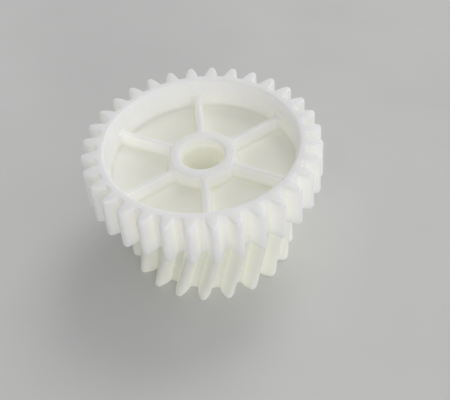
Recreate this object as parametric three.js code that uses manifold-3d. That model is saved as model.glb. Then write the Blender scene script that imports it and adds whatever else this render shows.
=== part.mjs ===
// Compound reduction gear: a straight-cut spur wheel keyed onto a helical pinion, both on one plain bore.
// Units are millimetres, +Z is up along the bore. The origin is the bore axis on the pinion's lower face.
// With -Y towards the viewer, one of the six spokes of each piece points straight at the viewer.

import * as THREE from "three";
import { mergeVertices } from "three/addons/utils/BufferGeometryUtils.js";
import Module from "manifold-3d";

const wasm = await Module();
wasm.setup();

// ---- Driving dimensions ----

const PRESSURE_ANGLE = THREE.MathUtils.degToRad(20);
const DEDENDUM = 1.1; // tooth depth below the pitch circle, in modules
const ROOT_ROUNDING = 0.3; // root fillet, in modules
const TIP_ROUNDING = 0.16; // rounding of the tooth tip corners, in modules
const BACKLASH = 0.02; // how much thinner than half a pitch each tooth is
const FLANK_STEPS = 2; // straight stretches that stand for one involute flank

const WHEEL_MODULE = 1.6;
const WHEEL_TEETH = 32;
const WHEEL_FACE = 10.4; // face width of the spur wheel
const WHEEL_PHASE = THREE.MathUtils.degToRad(-8.8); // angle of one tooth centre from +X
const WHEEL_EDGE_BREAK = 0.4; // bevel round the toothed outline, at both ends

const PINION_MODULE = 1.75; // normal module
const PINION_TEETH = 20;
const PINION_FACE = 22; // face width of the pinion
const PINION_HELIX = THREE.MathUtils.degToRad(16); // right hand
const PINION_PHASE = THREE.MathUtils.degToRad(7.9); // angle of one tooth centre at the lower face
const TWIST_STEPS = 6; // slices that the helical teeth are drawn in

const BORE_RADIUS = 5;
const BORE_LEAD_IN = 0.6; // chamfer at each mouth of the bore
const OVERRUN = 1; // how far a cutter runs past the face that it opens

const DISH_RIM_RADIUS = 21.8; // inner edge of the wheel's rim, at its upper face
const DISH_DRAFT = 0.4; // how much narrower the dish is at its floor
const DISH_DEPTH = 7.3; // upper face of the rim to the web
const HUB_DROP = 3.7; // upper face of the rim to the top of the hub
const SPOKE_DROP = 0.3; // top of the hub to the top of the spokes
const HUB_RADIUS = 7.7;
const HUB_DRAFT = 0.2; // how much wider the hub is at its foot

const CORE_RADIUS = 13.4; // hollow underside of the pinion, outer wall at the lower face
const CORE_TAPER = 0.4; // how much narrower that wall is at the roof of the hollow
const CORE_TUBE_RADIUS = 7.6; // outside of the bore tube at the lower face
const CORE_ROOF = 3.4; // thickness left between the hollow and the wheel

const SPOKES = 6;
const SPOKE_FIRST = THREE.MathUtils.degToRad(30);
const SPOKE_WIDTH = 1.2;
const SPOKE_FLARE = 1.4; // radius that blends a spoke into the hub and into the rim
const SPOKE_BITE = 0.6; // how far a spoke runs into its neighbours
const CORE_SPOKE_SINK = 0.6; // pinion's lower face to the lower edge of its spokes

const SPIGOT_RADIUS = 6.3; // tube of the pinion that centres the wheel
const SPIGOT_HEIGHT = 4.5;
const FIT_GAP = 0.05; // radial clearance of the spigot in the wheel
const SHOULDER_GAP = 0.05; // end of the spigot to the wheel's shoulder
const DOG_INNER = 9.2; // drive dogs on the pinion's upper face
const DOG_OUTER = 14;
const DOG_HEIGHT = 1.8;
const DOG_HALF_ANGLE = THREE.MathUtils.degToRad(7);
const DOG_GAP = 0.1; // clearance round each dog and above it

const ROUND_SEGMENTS = 72;
const FLARE_SEGMENTS = 4;
const MERGE_DISTANCE = 1e-4; // vertices closer than this are one

const TOTAL_HEIGHT = PINION_FACE + WHEEL_FACE;
const HUB_TOP = TOTAL_HEIGHT - HUB_DROP;
const WEB_TOP = TOTAL_HEIGHT - DISH_DEPTH;

// ---- Solids from three.js geometry ----

function solidFrom(geometry) {
  const bare = geometry.index ? geometry.toNonIndexed() : geometry.clone();
  bare.deleteAttribute("normal");
  bare.deleteAttribute("uv");
  const merged = mergeVertices(bare, MERGE_DISTANCE);
  return new wasm.Manifold(
    new wasm.Mesh({
      numProp: 3,
      vertProperties: merged.attributes.position.array,
      triVerts: new Uint32Array(merged.index.array),
    }),
  );
}

function meshFrom(name, solid, material) {
  const { numProp, vertProperties, triVerts } = solid.getMesh();
  const count = vertProperties.length / numProp;
  const positions = new Float32Array(count * 3);
  for (let i = 0; i < count; i++) {
    positions.set(vertProperties.subarray(i * numProp, i * numProp + 3), i * 3);
  }
  const geometry = new THREE.BufferGeometry();
  geometry.setAttribute("position", new THREE.BufferAttribute(positions, 3));
  geometry.setIndex(new THREE.BufferAttribute(new Uint32Array(triVerts), 1));
  geometry.computeVertexNormals();
  const mesh = new THREE.Mesh(geometry, material);
  mesh.name = name;
  return mesh;
}

// Turns a closed list of [radius, height] corners, counter-clockwise, round the bore axis.
function revolved(corners) {
  const points = corners.map(([radius, height]) => new THREE.Vector2(radius, height));
  if (corners[0][0] > 0) points.push(points[0].clone());
  return new THREE.LatheGeometry(points, ROUND_SEGMENTS).rotateX(Math.PI / 2);
}

function prism(shape, bottom, height) {
  const options = { depth: height, bevelEnabled: false, curveSegments: FLARE_SEGMENTS };
  return new THREE.ExtrudeGeometry(shape, options).translate(0, 0, bottom);
}

// ---- Teeth ----

function involute(angle) {
  return Math.tan(angle) - angle;
}

// Closed involute outline of a toothed ring; the helix angle is 0 for straight teeth.
function toothedOutline({ module, teeth, helix, phase }) {
  const pressure = Math.atan(Math.tan(PRESSURE_ANGLE) / Math.cos(helix));
  const pitchRadius = (module * teeth) / Math.cos(helix) / 2;
  const baseRadius = pitchRadius * Math.cos(pressure);
  const tipRadius = pitchRadius + module;
  const rootRadius = pitchRadius - DEDENDUM * module;
  const pitchHalfAngle = Math.PI / (2 * teeth) - BACKLASH / (2 * pitchRadius);
  const halfAngle = (radius) =>
    pitchHalfAngle + involute(pressure) - involute(Math.acos(Math.min(1, baseRadius / radius)));

  // Half a tooth from the middle of the valley: root, the middle of its fillet, flank, rounded tip.
  const fillet = ROOT_ROUNDING * module;
  const tipBreak = TIP_ROUNDING * module;
  const flankFoot = rootRadius + fillet;
  const flankTop = tipRadius - tipBreak;
  const filletRise = fillet / 4;
  const filletRun = fillet / 2;
  const half = [
    [rootRadius, Math.PI / teeth],
    [rootRadius + filletRise, halfAngle(flankFoot) + filletRun / rootRadius],
  ];
  for (let step = 0; step <= FLANK_STEPS; step++) {
    const radius = THREE.MathUtils.lerp(flankFoot, flankTop, step / FLANK_STEPS);
    half.push([radius, halfAngle(radius)]);
  }
  half.push([tipRadius, halfAngle(tipRadius) - tipBreak / tipRadius]);

  const points = [];
  for (let tooth = 0; tooth < teeth; tooth++) {
    const centre = phase + (tooth * 2 * Math.PI) / teeth;
    const rising = half.map(([radius, angle]) => [radius, centre - angle]);
    const falling = half.slice(1).reverse().map(([radius, angle]) => [radius, centre + angle]);
    for (const [radius, angle] of [...rising, [tipRadius, centre], ...falling]) {
      points.push(new THREE.Vector2(radius * Math.cos(angle), radius * Math.sin(angle)));
    }
  }
  return new THREE.Shape(points);
}

// Straight teeth, with the whole outline bevelled where it meets the two end faces.
function straightTeeth(gear, bottom, height) {
  const options = {
    depth: height - 2 * WHEEL_EDGE_BREAK,
    bevelEnabled: true,
    bevelSegments: 1,
    bevelThickness: WHEEL_EDGE_BREAK,
    bevelSize: WHEEL_EDGE_BREAK,
    bevelOffset: -WHEEL_EDGE_BREAK,
  };
  const geometry = new THREE.ExtrudeGeometry(toothedOutline(gear), options);
  return geometry.translate(0, 0, bottom + WHEEL_EDGE_BREAK);
}

// Helical teeth: a stepped extrusion, each slice turned in proportion to its height.
function helicalTeeth(gear, height) {
  const options = { depth: height, steps: TWIST_STEPS, bevelEnabled: false };
  const geometry = new THREE.ExtrudeGeometry(toothedOutline(gear), options);
  const pitchRadius = (gear.module * gear.teeth) / Math.cos(gear.helix) / 2;
  const turnPerHeight = Math.tan(gear.helix) / pitchRadius;
  const position = geometry.attributes.position;
  const point = new THREE.Vector3();
  const axis = new THREE.Vector3(0, 0, 1);
  for (let i = 0; i < position.count; i++) {
    point.fromBufferAttribute(position, i);
    point.applyAxisAngle(axis, turnPerHeight * point.z);
    position.setXYZ(i, point.x, point.y, point.z);
  }
  return geometry;
}

// ---- Spokes, dogs and bore ----

// Plan of one spoke along +X, between a round hub and a round rim of the radii that they have at
// the spoke's free edge. An arc on each side flares it where it meets them.
function spokeOutline(hubWall, rimWall) {
  const side = SPOKE_WIDTH / 2;
  const wide = side + SPOKE_FLARE;
  const hubRadius = Math.sqrt(hubWall ** 2 - wide ** 2);
  const rimRadius = Math.sqrt(rimWall ** 2 - wide ** 2);
  const inner = hubRadius - SPOKE_BITE;
  const outer = rimRadius + SPOKE_BITE;
  const flareIn = hubRadius + SPOKE_FLARE;
  const flareOut = rimRadius - SPOKE_FLARE;
  const shape = new THREE.Shape();
  shape.moveTo(inner, -wide);
  shape.lineTo(hubRadius, -wide);
  shape.absarc(flareIn, -wide, SPOKE_FLARE, Math.PI, Math.PI / 2, true);
  shape.lineTo(flareOut, -side);
  shape.absarc(flareOut, -wide, SPOKE_FLARE, Math.PI / 2, 0, true);
  shape.lineTo(outer, -wide);
  shape.lineTo(outer, wide);
  shape.lineTo(rimRadius, wide);
  shape.absarc(flareOut, wide, SPOKE_FLARE, 0, -Math.PI / 2, true);
  shape.lineTo(flareIn, side);
  shape.absarc(flareIn, wide, SPOKE_FLARE, -Math.PI / 2, -Math.PI, true);
  shape.lineTo(inner, wide);
  shape.closePath();
  return shape;
}

function spokeAngles() {
  return Array.from({ length: SPOKES }, (_, i) => SPOKE_FIRST + (i * 2 * Math.PI) / SPOKES);
}

function withSpokes(solid, hubWall, rimWall, bottom, height) {
  let result = solid;
  for (const angle of spokeAngles()) {
    const spoke = prism(spokeOutline(hubWall, rimWall), bottom, height).rotateZ(angle);
    result = result.add(solidFrom(spoke));
  }
  return result;
}

// One drive dog, a block between two radii; the gap widens it into the pocket that takes it.
function dog(angle, gap) {
  const shape = new THREE.Shape();
  const spread = DOG_HALF_ANGLE + gap / DOG_INNER;
  shape.absarc(0, 0, DOG_OUTER + gap, angle - spread, angle + spread, false);
  shape.absarc(0, 0, DOG_INNER - gap, angle + spread, angle - spread, true);
  shape.closePath();
  return shape;
}

function roundBar(radius, bottom, top) {
  return solidFrom(
    revolved([
      [0, bottom],
      [radius, bottom],
      [radius, top],
      [0, top],
    ]),
  );
}

// Cone that breaks the edge of the bore at one mouth; direction is +1 where the mouth faces up.
function mouthCutter(height, direction) {
  const wide = BORE_RADIUS + BORE_LEAD_IN + OVERRUN;
  const outside = height + direction * OVERRUN;
  const inside = height - direction * (BORE_LEAD_IN + BORE_RADIUS);
  const corners = [
    [0, inside],
    [wide, outside],
    [0, outside],
  ];
  return solidFrom(revolved(direction > 0 ? corners : corners.reverse()));
}

// ---- The two pieces ----

const spurGear = {
  module: WHEEL_MODULE,
  teeth: WHEEL_TEETH,
  helix: 0,
  phase: WHEEL_PHASE,
};

const helicalGear = {
  module: PINION_MODULE,
  teeth: PINION_TEETH,
  helix: PINION_HELIX,
  phase: PINION_PHASE,
};

function spurWheel() {
  const dish = revolved([
    [HUB_RADIUS + HUB_DRAFT, WEB_TOP],
    [DISH_RIM_RADIUS - DISH_DRAFT, WEB_TOP],
    [DISH_RIM_RADIUS, TOTAL_HEIGHT],
    [DISH_RIM_RADIUS, TOTAL_HEIGHT + OVERRUN],
    [0, TOTAL_HEIGHT + OVERRUN],
    [0, HUB_TOP],
    [HUB_RADIUS, HUB_TOP],
  ]);
  let wheel = solidFrom(straightTeeth(spurGear, PINION_FACE, WHEEL_FACE)).subtract(solidFrom(dish));
  const spokeTop = HUB_TOP - SPOKE_DROP;
  const wallAtSpokeTop = DISH_RIM_RADIUS - (DISH_DRAFT * (TOTAL_HEIGHT - spokeTop)) / DISH_DEPTH;
  const spokeFoot = WEB_TOP - SPOKE_BITE;
  wheel = withSpokes(wheel, HUB_RADIUS, wallAtSpokeTop, spokeFoot, spokeTop - spokeFoot);

  const socketTop = PINION_FACE + SPIGOT_HEIGHT + SHOULDER_GAP;
  wheel = wheel.subtract(roundBar(SPIGOT_RADIUS + FIT_GAP, PINION_FACE - OVERRUN, socketTop));
  wheel = wheel.subtract(roundBar(BORE_RADIUS, PINION_FACE, HUB_TOP + OVERRUN));
  wheel = wheel.subtract(mouthCutter(HUB_TOP, 1));
  for (const angle of spokeAngles()) {
    const pocket = prism(dog(angle, DOG_GAP), PINION_FACE - OVERRUN, OVERRUN + DOG_HEIGHT + DOG_GAP);
    wheel = wheel.subtract(solidFrom(pocket));
  }
  return wheel;
}

function helicalPinion() {
  const roof = PINION_FACE - CORE_ROOF;
  const hollow = revolved([
    [CORE_TUBE_RADIUS, -OVERRUN],
    [CORE_RADIUS, -OVERRUN],
    [CORE_RADIUS - CORE_TAPER, roof],
    [CORE_TUBE_RADIUS + CORE_TAPER, roof],
  ]);
  let pinion = solidFrom(helicalTeeth(helicalGear, PINION_FACE)).subtract(solidFrom(hollow));
  pinion = withSpokes(pinion, CORE_TUBE_RADIUS, CORE_RADIUS, CORE_SPOKE_SINK, roof);
  pinion = pinion.add(roundBar(SPIGOT_RADIUS, PINION_FACE - OVERRUN, PINION_FACE + SPIGOT_HEIGHT));
  for (const angle of spokeAngles()) {
    const block = prism(dog(angle, 0), PINION_FACE - OVERRUN, OVERRUN + DOG_HEIGHT);
    pinion = pinion.add(solidFrom(block));
  }
  pinion = pinion.subtract(roundBar(BORE_RADIUS, -OVERRUN, TOTAL_HEIGHT));
  return pinion.subtract(mouthCutter(0, -1));
}

const wheelPlastic = new THREE.MeshStandardMaterial({
  color: 0xe3e1df,
  roughness: 0.42,
  metalness: 0,
});

const pinionPlastic = new THREE.MeshStandardMaterial({
  color: 0xdddcd4,
  roughness: 0.45,
  metalness: 0,
});

const gear = new THREE.Group();
gear.add(meshFrom("spur_wheel", spurWheel(), wheelPlastic));
gear.add(meshFrom("helical_pinion", helicalPinion(), pinionPlastic));

export default gear;
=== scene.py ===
"""Looks of the compound reduction gear: a spur wheel keyed onto a helical pinion, in natural white nylon."""

import math

import bmesh
import bpy
import numpy as np
from mathutils import Matrix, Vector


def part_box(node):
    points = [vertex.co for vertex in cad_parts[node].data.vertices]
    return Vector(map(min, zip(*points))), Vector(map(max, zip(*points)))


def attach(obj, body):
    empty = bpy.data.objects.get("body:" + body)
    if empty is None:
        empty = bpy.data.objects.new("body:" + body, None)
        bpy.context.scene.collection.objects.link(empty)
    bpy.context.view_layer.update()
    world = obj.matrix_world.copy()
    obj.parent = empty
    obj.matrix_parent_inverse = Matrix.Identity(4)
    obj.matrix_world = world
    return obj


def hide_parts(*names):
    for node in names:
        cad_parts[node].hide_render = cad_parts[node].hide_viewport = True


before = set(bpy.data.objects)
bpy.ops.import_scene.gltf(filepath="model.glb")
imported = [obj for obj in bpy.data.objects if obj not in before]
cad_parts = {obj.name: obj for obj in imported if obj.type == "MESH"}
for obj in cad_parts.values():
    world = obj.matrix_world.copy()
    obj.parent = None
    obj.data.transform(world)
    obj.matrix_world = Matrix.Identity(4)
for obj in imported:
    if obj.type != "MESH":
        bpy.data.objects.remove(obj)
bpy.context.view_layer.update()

# ---- Sizes, in millimetres unless the name says otherwise ----

MM = 0.001


def cad_heights(node):
    """Lowest and highest point of a CAD node."""
    low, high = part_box(node)
    return low.z / MM, high.z / MM


def cad_reach(node):
    """Largest distance of a CAD node's surface from the bore axis."""
    return max(math.hypot(v.co.x, v.co.y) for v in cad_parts[node].data.vertices) / MM


WHEEL_LOW, WHEEL_TOP = cad_heights("spur_wheel")
PINION_LOW, SPIGOT_TOP = cad_heights("helical_pinion")

PRESSURE_ANGLE = math.radians(20)
DEDENDUM = 1.1  # in modules
BACKLASH = 0.02

# The helix is right hand, and the phase is the angle of one tooth at the gear's lower end.
# The turns are the roundings at the foot and at the tip of each flank, in modules.
WHEEL_GEAR = {
    "teeth": 32,
    "helix": 0.0,
    "phase": math.radians(-8.8),
    "tip": cad_reach("spur_wheel"),
    "root_turn": 0.42,
    "tip_turn": 0.25,
}
PINION_GEAR = {
    "teeth": 20,
    "helix": math.radians(16),
    "phase": math.radians(7.9),
    "tip": cad_reach("helical_pinion"),
    "root_turn": 0.42,
    "tip_turn": 0.45,
}
ROOT_TURN_SHARE = 0.9  # most of the half gap between two teeth that a root turn may take
TIP_TURN_SHARE = 0.8  # most of the half tooth tip that a tip turn may take

# Height and depth of the rounding at the ends of the teeth
WHEEL_TOP_ROLL = (0.9, 0.45)
WHEEL_LOW_ROLL = (0.5, 0.35)
PINION_LOW_ROLL = (0.7, 0.32)
NO_ROLL = (0.0, 0.0)

RIM_RADIUS = 21.8  # inner edge of the rim at its upper face
DISH_DRAFT = 0.4
DISH_DEPTH = 7.3
HUB_DROP = 3.7
SPOKE_DROP = 0.3
HUB_RADIUS = 7.7
HUB_DRAFT = 0.2
RIM_ROLL = 0.65  # rounding of the rim's inner edge
EDGE_ROLL = 0.45
FLOOR_FILLET = 0.8

BORE_RADIUS = 5.0
MOUTH_ROLL = 0.6
SPIGOT_RADIUS = 6.3
SPIGOT_ROLL = 0.2
FIT_GAP = 0.05
SHOULDER_GAP = 0.05

CORE_RADIUS = 13.4
CORE_TAPER = 0.4
CORE_TUBE_RADIUS = 7.6
CORE_ROOF = 3.4  # thickness left between the hollow underside and the wheel
CORE_SPOKE_SINK = 0.6

SPOKES = 6
SPOKE_FIRST = math.radians(30)
SPOKE_WIDTH = 1.1  # at the free edge
SPOKE_DRAFT = 0.3  # how much further each side stands out at the foot
SPOKE_FLARE = 1.4
SPOKE_BITE = 0.6  # how far each end runs into the hub and the rim
SPOKE_ROOT = 0.5  # how far the foot runs into the web
SPOKE_ROLL = 0.3
SPOKE_FOOT = 0.7

DOG_INNER = 9.2
DOG_OUTER = 14.0
DOG_HEIGHT = 1.8
DOG_HALF_ANGLE = math.radians(7)
DOG_GAP = 0.1

OVERRUN = 1.0  # how far a tool reaches past the surface it cuts or joins
MERGE_DISTANCE = 0.002
SHARP_ANGLE = math.radians(32)

# How finely curves are drawn
TURN_SEGMENTS = 240
ARC_STEPS = 6
ROLL_STEPS = 5
SPIGOT_ROLL_STEPS = 3
ROOT_STEPS = 6
FLANK_STEPS = 7
TIP_STEPS = 4
WHEEL_FACE_STEPS = 3
PINION_FACE_STEPS = 26
FLARE_STEPS = 8
SPOKE_SIDE_STEPS = 5
DOG_STEPS = 8

HUB_TOP = WHEEL_TOP - HUB_DROP
SPOKE_TOP = HUB_TOP - SPOKE_DROP
WEB_TOP = WHEEL_TOP - DISH_DEPTH

# ---- Mesh helpers ----


def mesh_object(name, vertices, faces):
    """Linked object from vertices in millimetres."""
    mesh = bpy.data.meshes.new(name)
    mesh.from_pydata([tuple(np.asarray(v) * MM) for v in vertices], [], faces)
    mesh.update()
    piece = bpy.data.objects.new(name, mesh)
    bpy.context.scene.collection.objects.link(piece)
    return piece


def lofted(name, rings):
    """Closed solid through rings of equal point counts, lowest first and counter-clockwise from above."""
    count = len(rings[0])
    vertices = np.concatenate(rings)
    faces = [tuple(reversed(range(count)))]
    for level in range(len(rings) - 1):
        low = level * count
        high = low + count
        for i in range(count):
            j = (i + 1) % count
            faces.append((low + i, low + j, high + j, high + i))
    faces.append(tuple(range(len(vertices) - count, len(vertices))))
    return mesh_object(name, vertices, faces)


def revolved(name, profile):
    """Closed solid from a counter-clockwise profile of (radius, height); points on the axis become poles."""
    vertices, loops, faces = [], [], []
    for radius, height in profile:
        first = len(vertices)
        if radius == 0:
            vertices.append((0.0, 0.0, height))
            loops.append([first] * TURN_SEGMENTS)
            continue
        for k in range(TURN_SEGMENTS):
            angle = 2 * math.pi * k / TURN_SEGMENTS
            vertices.append((radius * math.cos(angle), radius * math.sin(angle), height))
        loops.append(list(range(first, first + TURN_SEGMENTS)))
    for a, b in zip(loops, loops[1:] + loops[:1]):
        for k in range(TURN_SEGMENTS):
            m = (k + 1) % TURN_SEGMENTS
            corners = list(dict.fromkeys((a[k], a[m], b[m], b[k])))
            if len(corners) > 2:
                faces.append(tuple(corners))
    return mesh_object(name, vertices, faces)


def combine(target, tool, operation):
    """Applies an exact boolean to target and removes the tool."""
    modifier = target.modifiers.new("combine", "BOOLEAN")
    modifier.operation = operation
    modifier.solver = "EXACT"
    modifier.object = tool
    bpy.context.view_layer.update()
    evaluated = target.evaluated_get(bpy.context.evaluated_depsgraph_get())
    result = bpy.data.meshes.new_from_object(evaluated)
    target.modifiers.clear()
    target.data = result
    bpy.data.objects.remove(tool)


def merge_slivers(piece):
    """Joins the near-coincident points that the booleans leave, with the zero-area faces between them."""
    shape = bmesh.new()
    shape.from_mesh(piece.data)
    bmesh.ops.remove_doubles(shape, verts=shape.verts, dist=MERGE_DISTANCE * MM)
    bmesh.ops.dissolve_degenerate(shape, edges=shape.edges, dist=MERGE_DISTANCE * MM)
    shape.to_mesh(piece.data)
    shape.free()


def smooth_shading(piece):
    """Smooth faces split at sharp edges, with normals weighted so that flat faces stay flat."""
    piece.data.shade_smooth()
    piece.data.set_sharp_from_angle(angle=SHARP_ANGLE)
    weighted = piece.modifiers.new("weighted_normals", "WEIGHTED_NORMAL")
    weighted.keep_sharp = True


def arc(centre, radius, start, end, steps=ARC_STEPS):
    """Points on an arc from start to end, in degrees."""
    angles = np.radians(np.linspace(start, end, steps + 1))
    return [(centre[0] + radius * math.cos(a), centre[1] + radius * math.sin(a)) for a in angles]


def bend(start, corner, end, steps):
    """Quadratic curve that rounds a corner."""
    t = np.linspace(0, 1, steps + 1)[:, None]
    start, corner, end = (np.asarray(p) for p in (start, corner, end))
    return list((1 - t) ** 2 * start + 2 * t * (1 - t) * corner + t**2 * end)


def rotated(plan, angle):
    """The flat plan turned counter-clockwise about the axis."""
    turn = np.array([[math.cos(angle), math.sin(angle)], [-math.sin(angle), math.cos(angle)]])
    return plan @ turn


def raised(plan, height):
    """The flat plan as a ring of points at a height."""
    return np.column_stack([plan, np.full(len(plan), height)])


# ---- Toothed blanks ----


def involute(angle):
    return math.tan(angle) - angle


def gear_module(gear):
    """Normal module from the tip radius, which is the pitch radius plus one module."""
    return gear["tip"] / (gear["teeth"] / (2 * math.cos(gear["helix"])) + 1)


def pitch_radius(gear):
    return gear["tip"] - gear_module(gear)


def toothed_outline(gear, inset):
    """Involute outline of the whole gear, drawn a given distance inside its true surface."""
    module = gear_module(gear)
    pitch = pitch_radius(gear)
    pressure = math.atan(math.tan(PRESSURE_ANGLE) / math.cos(gear["helix"]))
    base = pitch * math.cos(pressure)
    tip = gear["tip"] - inset
    root = pitch - DEDENDUM * module - inset
    widest = math.pi / (2 * gear["teeth"]) - BACKLASH / (2 * pitch) + involute(pressure) - inset / base

    def flank(radius):
        """Radius and angle from the tooth's middle of the flank's point at a radius."""
        return radius, widest - involute(math.acos(min(1.0, base / radius)))

    def point(polar):
        return polar[0] * math.cos(polar[1]), polar[0] * math.sin(polar[1])

    valley = math.pi / gear["teeth"]
    root_turn = min(gear["root_turn"] * module, ROOT_TURN_SHARE * (valley - flank(root)[1]) * root)
    tip_turn = min(gear["tip_turn"] * module, TIP_TURN_SHARE * flank(tip)[1] * tip)
    foot, shoulder = root + root_turn, tip - tip_turn
    root_start = (root, flank(root)[1] + root_turn / root)
    tip_end = (tip, flank(tip)[1] - tip_turn / tip)
    half = [point((root, valley))]
    half += bend(point(root_start), point(flank(root)), point(flank(foot)), ROOT_STEPS)
    half += [point(flank(r)) for r in np.linspace(foot, shoulder, FLANK_STEPS + 1)[1:-1]]
    half += bend(point(flank(shoulder)), point(flank(tip)), point(tip_end), TIP_STEPS)
    half = np.array(half)
    rising = half * (1, -1)
    falling = half[:0:-1]
    tooth = np.concatenate([rising, [(tip, 0.0)], falling])
    angles = [gear["phase"] + 2 * math.pi * k / gear["teeth"] for k in range(gear["teeth"])]
    return np.concatenate([rotated(tooth, angle) for angle in angles])


def rolled_levels(low, high, low_roll, high_roll, middle_steps):
    """(height, inset) pairs up a face whose two ends are rounded over."""
    quarter = np.linspace(0, math.pi / 2, ROLL_STEPS + 1)
    rise, depth = low_roll
    lower = [(low + rise * (1 - math.sin(a)), depth * (1 - math.cos(a))) for a in quarter[::-1]]
    bottom = low + rise
    rise, depth = high_roll
    top = high - rise
    upper = [(top + rise * math.sin(a), depth * (1 - math.cos(a))) for a in quarter]
    middle = [(bottom + (top - bottom) * k / middle_steps, 0.0) for k in range(1, middle_steps)]
    if low_roll == NO_ROLL:
        lower = [(low, 0.0)]
    if high_roll == NO_ROLL:
        upper = [(high, 0.0)]
    return lower + middle + upper


def toothed_blank(name, gear, levels):
    """Solid toothed cylinder; a helical gear's outline turns as it climbs from the gear's lowest level."""
    turn_per_mm = math.tan(gear["helix"]) / pitch_radius(gear)
    base_height = levels[0][0]
    rings = []
    for height, inset in levels:
        turned = rotated(toothed_outline(gear, inset), turn_per_mm * (height - base_height))
        rings.append(raised(turned, height))
    return lofted(name, rings)


# ---- Spokes, dogs ----


def spoke_angles():
    return [SPOKE_FIRST + 2 * math.pi * k / SPOKES for k in range(SPOKES)]


def spoke_plan(hub_wall, rim_wall):
    """Plan of one spoke along +X, flared where it meets the hub and the rim."""
    side = SPOKE_WIDTH / 2
    wide = side + SPOKE_FLARE
    hub = math.sqrt(hub_wall**2 - wide**2)
    rim = math.sqrt(rim_wall**2 - wide**2)
    straight = np.linspace(hub + SPOKE_FLARE, rim - SPOKE_FLARE, SPOKE_SIDE_STEPS + 1)[1:-1]
    lower = [(hub - SPOKE_BITE, -wide)]
    lower += arc((hub + SPOKE_FLARE, -wide), SPOKE_FLARE, 180, 90, FLARE_STEPS)
    lower += [(x, -side) for x in straight]
    lower += arc((rim - SPOKE_FLARE, -wide), SPOKE_FLARE, 90, 0, FLARE_STEPS)
    lower += [(rim + SPOKE_BITE, -wide)]
    upper = [(x, -y) for x, y in reversed(lower)]
    return np.array(lower + upper)


def grown(plan, distance):
    """The closed counter-clockwise plan moved outwards along its own normals."""
    before = plan - np.roll(plan, 1, axis=0)
    after = np.roll(plan, -1, axis=0) - plan
    before /= np.linalg.norm(before, axis=1)[:, None]
    after /= np.linalg.norm(after, axis=1)[:, None]
    along = before + after
    along /= np.linalg.norm(along, axis=1)[:, None]
    normal = np.column_stack([along[:, 1], -along[:, 0]])
    return plan + normal * distance


def spoke_levels(foot, edge):
    """(height, growth) pairs from the web that a spoke grows out of to its rounded free edge."""
    way = 1 if edge > foot else -1
    quarter = np.linspace(0, math.pi / 2, ROLL_STEPS + 1)
    levels = [(foot - way * SPOKE_ROOT, SPOKE_DRAFT + SPOKE_FOOT)]
    for a in quarter:
        height = foot + way * SPOKE_FOOT * (1 - math.cos(a))
        levels.append((height, SPOKE_DRAFT + SPOKE_FOOT * (1 - math.sin(a))))
    for a in quarter:
        height = edge - way * SPOKE_ROLL * (1 - math.sin(a))
        levels.append((height, -SPOKE_ROLL * (1 - math.cos(a))))
    return levels if way > 0 else levels[::-1]


def add_spokes(target, plan, levels):
    for angle in spoke_angles():
        rings = [raised(rotated(grown(plan, growth), angle), height) for height, growth in levels]
        combine(target, lofted("spoke", rings), "UNION")


def drive_dogs(target, gap, low, high, operation):
    """Adds or cuts the six blocks that carry the torque between the two pieces."""
    spread = DOG_HALF_ANGLE + gap / DOG_INNER
    outer_radius = DOG_OUTER + gap
    inner_radius = DOG_INNER - gap
    for angle in spoke_angles():
        sweep = np.linspace(angle - spread, angle + spread, DOG_STEPS + 1)
        outer = [(outer_radius * math.cos(a), outer_radius * math.sin(a)) for a in sweep]
        inner = [(inner_radius * math.cos(a), inner_radius * math.sin(a)) for a in sweep[::-1]]
        plan = np.array(outer + inner)
        combine(target, lofted("dog", [raised(plan, low), raised(plan, high)]), operation)


# ---- The two pieces ----


def dish_tool():
    """What the wheel's upper face is hollowed by, with the rounded edge of the rim."""
    floor_radius = RIM_RADIUS - DISH_DRAFT
    profile = [(0, WEB_TOP)]
    profile += arc((floor_radius - FLOOR_FILLET, WEB_TOP + FLOOR_FILLET), FLOOR_FILLET, -90, 0)
    profile += arc((RIM_RADIUS + RIM_ROLL, WHEEL_TOP - RIM_ROLL), RIM_ROLL, 180, 90)
    profile += [(RIM_RADIUS + RIM_ROLL, WHEEL_TOP + OVERRUN), (0, WHEEL_TOP + OVERRUN)]
    return revolved("dish", profile)


def hub_solid():
    foot = HUB_RADIUS + HUB_DRAFT
    profile = [(0, WEB_TOP - OVERRUN), (foot + FLOOR_FILLET, WEB_TOP - OVERRUN)]
    profile += arc((foot + FLOOR_FILLET, WEB_TOP + FLOOR_FILLET), FLOOR_FILLET, -90, -180)
    profile += arc((HUB_RADIUS - EDGE_ROLL, HUB_TOP - EDGE_ROLL), EDGE_ROLL, 0, 90)
    profile += [(0, HUB_TOP)]
    return revolved("hub", profile)


def wheel_bore_tool():
    """Socket for the pinion's spigot, the bore above it and the bore's rounded mouth."""
    socket = SPIGOT_RADIUS + FIT_GAP
    socket_top = SPIGOT_TOP + SHOULDER_GAP
    profile = [(0, WHEEL_LOW - OVERRUN), (socket, WHEEL_LOW - OVERRUN), (socket, socket_top)]
    profile += [(BORE_RADIUS, socket_top)]
    profile += arc((BORE_RADIUS + MOUTH_ROLL, HUB_TOP - MOUTH_ROLL), MOUTH_ROLL, 180, 90)
    profile += [(BORE_RADIUS + MOUTH_ROLL, HUB_TOP + OVERRUN), (0, HUB_TOP + OVERRUN)]
    return revolved("wheel_bore", profile)


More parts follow.
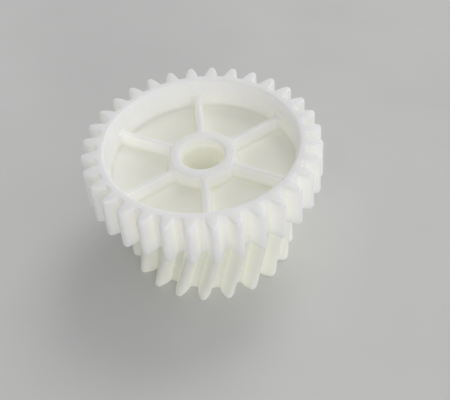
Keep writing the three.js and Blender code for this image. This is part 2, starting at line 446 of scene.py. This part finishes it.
def build_wheel():
    levels = rolled_levels(WHEEL_LOW, WHEEL_TOP, WHEEL_LOW_ROLL, WHEEL_TOP_ROLL, WHEEL_FACE_STEPS)
    wheel = toothed_blank("spur_wheel_moulding", WHEEL_GEAR, levels)
    combine(wheel, dish_tool(), "DIFFERENCE")
    combine(wheel, hub_solid(), "UNION")
    wall_at_spokes = RIM_RADIUS - DISH_DRAFT * (WHEEL_TOP - SPOKE_TOP) / DISH_DEPTH
    add_spokes(wheel, spoke_plan(HUB_RADIUS, wall_at_spokes), spoke_levels(WEB_TOP, SPOKE_TOP))
    combine(wheel, wheel_bore_tool(), "DIFFERENCE")
    drive_dogs(wheel, DOG_GAP, WHEEL_LOW - OVERRUN, WHEEL_LOW + DOG_HEIGHT + DOG_GAP, "DIFFERENCE")
    return wheel


def core_tool():
    """Ring that hollows the pinion from below, between its toothed wall and its bore tube."""
    roof = WHEEL_LOW - CORE_ROOF
    outer_roof = CORE_RADIUS - CORE_TAPER
    tube_roof = CORE_TUBE_RADIUS + CORE_TAPER
    mouth = PINION_LOW + EDGE_ROLL
    profile = [(CORE_TUBE_RADIUS - EDGE_ROLL, PINION_LOW - OVERRUN)]
    profile += [(CORE_RADIUS + EDGE_ROLL, PINION_LOW - OVERRUN)]
    profile += arc((CORE_RADIUS + EDGE_ROLL, mouth), EDGE_ROLL, 270, 180)
    profile += arc((outer_roof - FLOOR_FILLET, roof - FLOOR_FILLET), FLOOR_FILLET, 0, 90)
    profile += arc((tube_roof + FLOOR_FILLET, roof - FLOOR_FILLET), FLOOR_FILLET, 90, 180)
    profile += arc((CORE_TUBE_RADIUS - EDGE_ROLL, mouth), EDGE_ROLL, 0, -90)
    return revolved("core", profile)


def spigot_solid():
    low = WHEEL_LOW - OVERRUN
    roll_centre = (SPIGOT_RADIUS - SPIGOT_ROLL, SPIGOT_TOP - SPIGOT_ROLL)
    profile = [(0, low), (SPIGOT_RADIUS, low)]
    profile += arc(roll_centre, SPIGOT_ROLL, 0, 90, SPIGOT_ROLL_STEPS)
    profile += [(0, SPIGOT_TOP)]
    return revolved("spigot", profile)


def pinion_bore_tool():
    """The bore with its rounded lower mouth."""
    profile = [(0, PINION_LOW - OVERRUN), (BORE_RADIUS + MOUTH_ROLL, PINION_LOW - OVERRUN)]
    profile += arc((BORE_RADIUS + MOUTH_ROLL, PINION_LOW + MOUTH_ROLL), MOUTH_ROLL, 270, 180)
    profile += [(BORE_RADIUS, SPIGOT_TOP + OVERRUN), (0, SPIGOT_TOP + OVERRUN)]
    return revolved("pinion_bore", profile)


def build_pinion():
    levels = rolled_levels(PINION_LOW, WHEEL_LOW, PINION_LOW_ROLL, NO_ROLL, PINION_FACE_STEPS)
    pinion = toothed_blank("helical_pinion_moulding", PINION_GEAR, levels)
    combine(pinion, core_tool(), "DIFFERENCE")
    roof = WHEEL_LOW - CORE_ROOF
    plan = spoke_plan(CORE_TUBE_RADIUS, CORE_RADIUS)
    add_spokes(pinion, plan, spoke_levels(roof, PINION_LOW + CORE_SPOKE_SINK))
    combine(pinion, spigot_solid(), "UNION")
    drive_dogs(pinion, 0, WHEEL_LOW - OVERRUN, WHEEL_LOW + DOG_HEIGHT, "UNION")
    combine(pinion, pinion_bore_tool(), "DIFFERENCE")
    return pinion


# ---- Materials ----

# Colours of the plastic in the open, of the painted shade in its hollows and of the painted highlight along
# its edges, and how deep light soaks in
WHEEL_NYLON = {
    "body": (0.90, 0.892, 0.885),
    "cavity_shade": (0.82, 0.825, 0.775),
    "edge": (0.905, 0.898, 0.893),
    "soak": 5.5,
}
PINION_NYLON = {
    "body": (0.90, 0.897, 0.872),
    "cavity_shade": (0.80, 0.81, 0.745),
    "edge": (0.91, 0.905, 0.885),
    "soak": 3.5,
}
NYLON_IOR = 1.53
SOAK_PER_COLOUR = (1.0, 0.95, 0.8)  # share of the soak depth that red, green and blue reach
# Painted glow: the colour that the most shut-in surfaces emit, standing in for light that soaks through the
# walls
SOAKED_LIGHT = (0.195, 0.192, 0.172)
WEB_PAINTED_SHADE = (0.785, 0.79, 0.74)  # painted shade on the web, standing in for the light that its thin back loses
WEB_FADE_HEIGHTS = (0.1, 0.9)  # above the web's surface
WEB_FADE_MARGINS = (0.8, 0.2)  # inside the rim's inner edge
HOLLOW_REACH = 10  # how far away a surface still counts as shutting another in
OPENNESS = (0.05, 0.95)  # openness of a fully shut-in surface and of an open one
EDGE_REACH = 0.5
EDGE_LIKENESS = (0.82, 0.995)  # likeness of the bevelled and true normals on an edge and off it

# A spread is the part of a noise's values over which its effect grows from none to full.
MOTTLE_SIZE = 7
MOTTLE_SPREAD = (0.35, 0.65)
MOTTLE_SHADE = 0.955
SCUFF_SIZE = 1.2
SCUFF_STRETCH = (1, 1, 0.25)  # scuffs run up and down
SCUFF_SPREAD = (0.45, 0.7)
SCUFF_ROUGHNESS = (0.42, 0.56)
SINK_SIZE = 5  # shallow waves that the plastic sinks into as it cools
SINK_DEPTH = 0.05
GRAIN_SIZE = 0.35
GRAIN_DEPTH = 0.012

BOARD_LIGHT = (0.70, 0.705, 0.69)
BOARD_DARK = (0.67, 0.675, 0.66)
BOARD_CLOUD_SIZE = 30
BOARD_CLOUD_SPREAD = (0.3, 0.7)
BOARD_ROUGHNESS = 0.9


class Nodes:
    """Short names for the nodes that the materials here are made of."""

    def __init__(self, name):
        self.material = bpy.data.materials.new(name)
        self.material.use_nodes = True
        self.tree = self.material.node_tree
        self.shader = self.tree.nodes["Principled BSDF"]
        self.place = self.add("ShaderNodeTexCoord").outputs["Object"]
        axes = self.add("ShaderNodeSeparateXYZ")
        self.link(self.place, axes.inputs["Vector"])
        self.height = axes.outputs["Z"]
        flat = self.add("ShaderNodeCombineXYZ")
        self.link(axes.outputs["X"], flat.inputs["X"])
        self.link(axes.outputs["Y"], flat.inputs["Y"])
        length = self.add("ShaderNodeVectorMath", operation="LENGTH")
        self.link(flat.outputs["Vector"], length.inputs[0])
        self.radius = length.outputs["Value"]

    def add(self, kind, **values):
        """Adds a node; each value goes to the node's setting of that name, or else to its input."""
        node = self.tree.nodes.new(kind)
        for key, value in values.items():
            if hasattr(node, key):
                setattr(node, key, value)
            else:
                node.inputs[key.replace("_", " ")].default_value = value
        return node

    def link(self, output, socket):
        self.tree.links.new(output, socket)

    def noise(self, size, detail, stretch=(1, 1, 1)):
        """Noise whose features are about size millimetres across."""
        mapping = self.add("ShaderNodeMapping")
        mapping.inputs["Scale"].default_value = stretch
        self.link(self.place, mapping.inputs["Vector"])
        noise = self.add("ShaderNodeTexNoise", Scale=1 / (size * MM), Detail=detail)
        self.link(mapping.outputs["Vector"], noise.inputs["Vector"])
        return noise.outputs["Fac"]

    def ramp(self, value, source, target):
        """Maps value from one (start, end) range onto another, clamped."""
        node = self.add("ShaderNodeMapRange")
        node.inputs["From Min"].default_value, node.inputs["From Max"].default_value = source
        node.inputs["To Min"].default_value, node.inputs["To Max"].default_value = target
        self.link(value, node.inputs["Value"])
        return node.outputs["Result"]

    def times(self, first, second):
        node = self.add("ShaderNodeMath", operation="MULTIPLY")
        self.link(first, node.inputs[0])
        self.link(second, node.inputs[1])
        return node.outputs["Value"]

    def mix(self, share, first, second):
        """Colour that goes from first to second; each may be a colour or a socket."""
        node = self.add("ShaderNodeMix", data_type="RGBA")
        self.link(share, node.inputs[0])
        for socket, colour in ((node.inputs[6], first), (node.inputs[7], second)):
            if isinstance(colour, tuple):
                socket.default_value = (*colour, 1)
            else:
                self.link(colour, socket)
        return node.outputs[2]

    def bump(self, height, depth, normal=None):
        """Bump of depth millimetres."""
        node = self.add("ShaderNodeBump", Strength=1.0, Distance=depth * MM)
        self.link(height, node.inputs["Height"])
        if normal:
            self.link(normal, node.inputs["Normal"])
        return node.outputs["Normal"]

    def hollowness(self):
        """0 on open surfaces and 1 where the surroundings shut them in."""
        occlusion = self.add("ShaderNodeAmbientOcclusion", samples=8, Distance=HOLLOW_REACH * MM)
        return self.ramp(occlusion.outputs["AO"], OPENNESS, (1, 0))

    def edge_highlight(self):
        """Mask of the painted highlight: 0 on smooth surfaces and 1 along edges, where the bevelled normal
        leaves the true one.
        """
        rounded = self.add("ShaderNodeBevel", samples=6, Radius=EDGE_REACH * MM)
        geometry = self.add("ShaderNodeNewGeometry")
        likeness = self.add("ShaderNodeVectorMath", operation="DOT_PRODUCT")
        self.link(rounded.outputs["Normal"], likeness.inputs[0])
        self.link(geometry.outputs["Normal"], likeness.inputs[1])
        return self.ramp(likeness.outputs["Value"], EDGE_LIKENESS, (1, 0))

    def painted_web_shade(self):
        """Where the painted web shade goes: 1 on the web's surface inside the rim, fading just above it and
        near the rim.
        """
        low, high = WEB_FADE_HEIGHTS
        above_web = self.ramp(self.height, ((WEB_TOP + low) * MM, (WEB_TOP + high) * MM), (1, 0))
        inner, outer = WEB_FADE_MARGINS
        near_rim = ((RIM_RADIUS - inner) * MM, (RIM_RADIUS - outer) * MM)
        return self.times(above_web, self.ramp(self.radius, near_rim, (1, 0)))


def nylon(name, look):
    """Natural nylon: milky, a little mottled, with painted shade in its hollows and a painted highlight
    along its edges.

    A painted glow that the hollows emit stands in for light that has soaked through the thin walls, so that
    they don't fall dark.
    """
    n = Nodes(name)
    hollow = n.hollowness()
    mottle_share = n.ramp(n.noise(MOTTLE_SIZE, detail=4), MOTTLE_SPREAD, (0, 1))
    mottled = n.mix(mottle_share, look["body"], tuple(MOTTLE_SHADE * c for c in look["body"]))
    # Painted shade on the thin web.
    web_shaded = n.mix(n.painted_web_shade(), mottled, WEB_PAINTED_SHADE)
    # Painted shade: the hollows take the darker cavity colour, whatever the lamps do.
    hollow_shaded = n.mix(hollow, web_shaded, look["cavity_shade"])
    # Painted highlight: the edges take the lighter edge colour.
    n.link(n.mix(n.edge_highlight(), hollow_shaded, look["edge"]), n.shader.inputs["Base Color"])
    # Painted glow: the hollows emit light of their own.
    n.link(n.mix(hollow, (0.0, 0.0, 0.0), SOAKED_LIGHT), n.shader.inputs["Emission Color"])
    n.shader.inputs["Emission Strength"].default_value = 1.0

    scuffs = n.ramp(n.noise(SCUFF_SIZE, detail=6, stretch=SCUFF_STRETCH), SCUFF_SPREAD, SCUFF_ROUGHNESS)
    n.link(scuffs, n.shader.inputs["Roughness"])
    sink = n.bump(n.noise(SINK_SIZE, detail=2), SINK_DEPTH)
    grain = n.bump(n.noise(GRAIN_SIZE, detail=3), GRAIN_DEPTH, sink)
    n.link(grain, n.shader.inputs["Normal"])

    n.shader.inputs["IOR"].default_value = NYLON_IOR
    n.shader.inputs["Subsurface Weight"].default_value = 1.0
    n.shader.inputs["Subsurface Radius"].default_value = SOAK_PER_COLOUR
    n.shader.inputs["Subsurface Scale"].default_value = look["soak"] * MM
    return n.material


def board(name):
    """Pale matt board with faint clouds."""
    n = Nodes(name)
    clouds = n.ramp(n.noise(BOARD_CLOUD_SIZE, detail=3), BOARD_CLOUD_SPREAD, (0, 1))
    n.link(n.mix(clouds, BOARD_LIGHT, BOARD_DARK), n.shader.inputs["Base Color"])
    n.shader.inputs["Roughness"].default_value = BOARD_ROUGHNESS
    n.shader.inputs["Specular IOR Level"].default_value = 0.0
    return n.material


# ---- Stage, light and camera ----

FLOOR_SIZE = 5000
LAMP_DISTANCE = 2000
# Azimuth from +X towards +Y and elevation, in degrees; size of the disc; watts
LAMPS = {
    "key": {"azimuth": 50, "elevation": 52, "size": 1050, "watts": 7.8, "colour": (1.0, 0.985, 0.96)},
    "front_fill": {"azimuth": -74, "elevation": 14, "size": 800, "watts": 7.0, "colour": (1.0, 0.99, 0.97)},
}
# The surround's strength goes from dim to bright with x, y and the distance from the horizon, weighed so.
SKY_WEIGHTS = (0.88, 0.05, -0.7)
SKY_DIM = 0.335
SKY_BRIGHT = 1.09
SKY_COLOUR = (0.975, 0.98, 1.0, 1)

CAMERA_ELEVATION = math.radians(45.6)
CAMERA_ROLL = math.radians(-5.8)
CAMERA_LENS = 67.9
TOP_CENTRE_RIGHT = -5.4  # wheel's upper centre, as the camera sees it
TOP_CENTRE_UP = 13.2
TOP_CENTRE_AHEAD = 189.5


def make_floor():
    """Square board under the pinion's lower end."""
    half = FLOOR_SIZE / 2
    corners = [(-half, -half, PINION_LOW), (half, -half, PINION_LOW)]
    corners += [(half, half, PINION_LOW), (-half, half, PINION_LOW)]
    floor = mesh_object("floor", corners, [(0, 1, 2, 3)])
    floor.data.materials.append(board("pale_board"))
    return floor


def hide_from_below(floor, camera):
    """Takes the floor away for a camera that is under it, so that the underside can be seen."""
    driver = floor.driver_add("hide_render").driver
    height = driver.variables.new()
    height.name = "height"
    height.type = "TRANSFORMS"
    height.targets[0].id = camera
    height.targets[0].transform_type = "LOC_Z"
    driver.expression = "height < 0"


def set_frame(obj, side, up, back, place):
    """Places obj at a point in millimetres, with its own axes along the three directions."""
    columns = [*zip(side, up, back, np.asarray(place) * MM)]
    obj.matrix_world = Matrix([*[list(map(float, row)) for row in columns], [0, 0, 0, 1]])


def aimed_at_centre(obj, azimuth, elevation, distance):
    """Puts obj at a direction and distance from the gear, facing it."""
    level = math.cos(elevation)
    away = np.array([math.cos(azimuth) * level, math.sin(azimuth) * level, math.sin(elevation)])
    side = np.cross([0, 0, 1], away)
    side /= np.linalg.norm(side)
    up = np.cross(away, side)
    centre = np.array([0, 0, WHEEL_TOP / 2])
    set_frame(obj, side, up, away, centre + away * distance)


def make_lamps():
    for name, lamp in LAMPS.items():
        data = bpy.data.lights.new(name, "AREA")
        data.shape = "DISK"
        data.size = lamp["size"] * MM
        data.energy = lamp["watts"]
        data.color = lamp["colour"]
        light = bpy.data.objects.new(name, data)
        bpy.context.scene.collection.objects.link(light)
        azimuth, elevation = math.radians(lamp["azimuth"]), math.radians(lamp["elevation"])
        aimed_at_centre(light, azimuth, elevation, LAMP_DISTANCE)


def make_sky():
    """Soft studio surround, brightest on the right and dimmest overhead, underneath and on the left."""
    world = bpy.data.worlds.new("studio")
    world.use_nodes = True
    tree = world.node_tree
    background = tree.nodes["Background"]
    background.inputs["Color"].default_value = SKY_COLOUR
    direction = tree.nodes.new("ShaderNodeTexCoord")
    axes = tree.nodes.new("ShaderNodeSeparateXYZ")
    steepness = tree.nodes.new("ShaderNodeMath")
    steepness.operation = "ABSOLUTE"
    mirrored = tree.nodes.new("ShaderNodeCombineXYZ")
    weighed = tree.nodes.new("ShaderNodeVectorMath")
    weighed.operation = "DOT_PRODUCT"
    weighed.inputs[1].default_value = SKY_WEIGHTS
    strength = tree.nodes.new("ShaderNodeMapRange")
    strength.inputs["From Min"].default_value = -1
    strength.inputs["To Min"].default_value = SKY_DIM
    strength.inputs["To Max"].default_value = SKY_BRIGHT
    tree.links.new(direction.outputs["Generated"], axes.inputs["Vector"])
    tree.links.new(axes.outputs["Z"], steepness.inputs[0])
    tree.links.new(axes.outputs["X"], mirrored.inputs["X"])
    tree.links.new(axes.outputs["Y"], mirrored.inputs["Y"])
    tree.links.new(steepness.outputs["Value"], mirrored.inputs["Z"])
    tree.links.new(mirrored.outputs["Vector"], weighed.inputs[0])
    tree.links.new(weighed.outputs["Value"], strength.inputs["Value"])
    tree.links.new(strength.outputs["Result"], background.inputs["Strength"])
    bpy.context.scene.world = world


def make_camera():
    """Camera that looks down at the gear from the front, leaning a little to one side."""
    ahead = np.array([0, math.cos(CAMERA_ELEVATION), -math.sin(CAMERA_ELEVATION)])
    level_up = np.array([0, math.sin(CAMERA_ELEVATION), math.cos(CAMERA_ELEVATION)])
    level_right = np.array([1, 0, 0])
    right = level_right * math.cos(CAMERA_ROLL) + level_up * math.sin(CAMERA_ROLL)
    up = level_up * math.cos(CAMERA_ROLL) - level_right * math.sin(CAMERA_ROLL)
    seen = right * TOP_CENTRE_RIGHT + up * TOP_CENTRE_UP + ahead * TOP_CENTRE_AHEAD
    data = bpy.data.cameras.new("camera")
    data.lens = CAMERA_LENS
    data.clip_start = MM
    camera = bpy.data.objects.new("camera", data)
    bpy.context.scene.collection.objects.link(camera)
    set_frame(camera, right, up, -ahead, np.array([0, 0, WHEEL_TOP]) - seen)
    bpy.context.scene.camera = camera
    return camera


# ---- Assembly ----

pieces = (
    (build_wheel(), "spur_wheel", "wheel_nylon", nylon("wheel_nylon_look", WHEEL_NYLON)),
    (build_pinion(), "helical_pinion", "pinion_nylon", nylon("pinion_nylon_look", PINION_NYLON)),
)
for piece, node, slot, look in pieces:
    merge_slivers(piece)
    piece.data.materials.clear()
    piece.data.materials.append(look)
    smooth_shading(piece)
    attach(piece, "root")
    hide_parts(node)

hide_from_below(make_floor(), make_camera())
make_lamps()
make_sky()
bpy.context.scene.view_settings.view_transform = "Standard"
